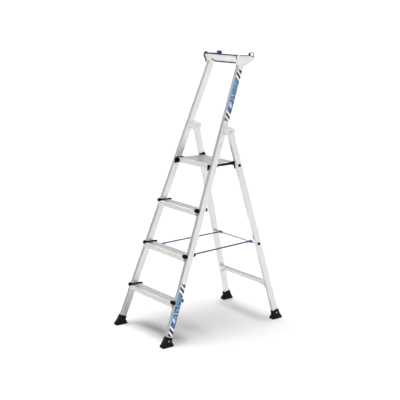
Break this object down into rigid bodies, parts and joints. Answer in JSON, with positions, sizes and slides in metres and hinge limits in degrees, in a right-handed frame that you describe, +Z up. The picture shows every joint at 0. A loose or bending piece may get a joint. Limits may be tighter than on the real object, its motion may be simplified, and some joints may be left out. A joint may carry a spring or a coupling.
{
  "type": "platform step ladder",
  "caption": "Folding aluminium step ladder with ribbed treads, a standing platform, a tool tray above it and webbing straps that limit the opening.",
  "frame": {"origin": "on the floor, in the middle of the four boots' outline", "axes": "+Z up, +Y from the climbing side to the rear frame, +X to the climber's right"},
  "size_m": [0.503, 0.859, 1.5624],
  "materials": {
    "stile_aluminium": "satin anodised",
    "tread_aluminium": "ribbed, mill finish",
    "crossbar_tube": "satin",
    "bracket_metal": "satin grey",
    "zinc_steel": "zinc plated",
    "black_plastic": "moulded, fine grain",
    "boot_rubber": "matt rubber",
    "blue_webbing": "woven polyester webbing",
    "tray_plastic": "moulded light grey",
    "rim_plastic": "smooth dark blue",
    "blue_plastic": "smooth blue",
    "label_film": "printed film"
  },
  "bodies": {
    "front_frame": {"left_front_stile": "stile_aluminium", "right_front_stile": "stile_aluminium", "tread_screws": "zinc_steel", "lower_tread": "tread_aluminium", "left_lower_tread_cap": "black_plastic", "right_lower_tread_cap": "black_plastic", "middle_tread": "tread_aluminium", "left_middle_tread_cap": "black_plastic", "right_middle_tread_cap": "black_plastic", "upper_tread": "tread_aluminium", "left_upper_tread_cap": "black_plastic", "right_upper_tread_cap": "black_plastic", "left_hinge_saddle": "bracket_metal", "right_hinge_saddle": "bracket_metal", "hinge_pins": "zinc_steel", "saddle_rivets": "zinc_steel", "left_platform_bracket": "black_plastic", "right_platform_bracket": "black_plastic", "platform_pivot_pins": "zinc_steel", "left_strap_anchor": "zinc_steel", "right_strap_anchor": "zinc_steel", "left_front_boot": "boot_rubber", "right_front_boot": "boot_rubber", "front_boot_rivets": "zinc_steel", "tray": "tray_plastic", "tray_rim": "rim_plastic", "corner_hook": "blue_plastic", "rim_clip": "blue_plastic", "ring_holder": "tray_plastic", "ring_clasp": "black_plastic", "rim_stud": "tray_plastic", "upper_label": "label_film", "lower_label": "label_film"},
    "rear_frame": {"left_rear_leg": "stile_aluminium", "right_rear_leg": "stile_aluminium", "platform_rest_pins": "black_plastic", "left_rest_pin_guide": "black_plastic", "right_rest_pin_guide": "black_plastic", "upper_crossbar": "crossbar_tube", "crossbar_plugs": "black_plastic", "lower_brace": "tread_aluminium", "left_brace_bracket": "bracket_metal", "right_brace_bracket": "bracket_metal", "brace_rivets": "zinc_steel", "left_strap_loop": "blue_webbing", "right_strap_loop": "blue_webbing", "left_rear_boot": "boot_rubber", "right_rear_boot": "boot_rubber", "rear_boot_rivets": "zinc_steel"},
    "platform": {"platform_deck": "tread_aluminium", "left_platform_rail": "black_plastic", "right_platform_rail": "black_plastic"},
    "left_strap_front": {"left_strap_front_half": "blue_webbing"},
    "left_strap_rear": {"left_strap_rear_half": "blue_webbing"},
    "right_strap_front": {"right_strap_front_half": "blue_webbing"},
    "right_strap_rear": {"right_strap_rear_half": "blue_webbing"}
  },
  "joints": [
    {"name": "rear_frame_fold", "type": "hinge", "parent": "front_frame", "child": "rear_frame", "pos_m": [0, 0.097, 1.126], "axis": [-1, 0, 0], "range_deg": [0, 35.5]},
    {"name": "platform_tilt", "type": "hinge", "parent": "front_frame", "child": "platform", "pos_m": [0, -0.0295, 0.94], "axis": [1, 0, 0], "range_deg": [0, 68.5]},
    {"name": "left_strap_swing", "type": "hinge", "parent": "front_frame", "child": "left_strap_front", "pos_m": [0, -0.17, 0.46], "axis": [-1, 0, 0], "range_deg": [0, 89.5]},
    {"name": "left_strap_bend", "type": "hinge", "parent": "left_strap_front", "child": "left_strap_rear", "pos_m": [0, 0.03013, 0.46414], "axis": [1, 0, 0], "range_deg": [0, 175], "deforming": ["left_strap_front_half", "left_strap_rear_half"]},
    {"name": "right_strap_swing", "type": "hinge", "parent": "front_frame", "child": "right_strap_front", "pos_m": [0, -0.17, 0.46], "axis": [-1, 0, 0], "range_deg": [0, 89.5]},
    {"name": "right_strap_bend", "type": "hinge", "parent": "right_strap_front", "child": "right_strap_rear", "pos_m": [0, 0.03013, 0.46414], "axis": [1, 0, 0], "range_deg": [0, 175], "deforming": ["right_strap_front_half", "right_strap_rear_half"]}
  ],
  "couplings": [
    {"joint": "platform_tilt", "follows": "rear_frame_fold", "ratio": 1.92},
    {"joint": "left_strap_swing", "follows": "rear_frame_fold", "ratio": 2.5123},
    {"joint": "left_strap_bend", "follows": "rear_frame_fold", "ratio": 4.9117},
    {"joint": "right_strap_swing", "follows": "rear_frame_fold", "ratio": 2.5123},
    {"joint": "right_strap_bend", "follows": "rear_frame_fold", "ratio": 4.9117}
  ]
}
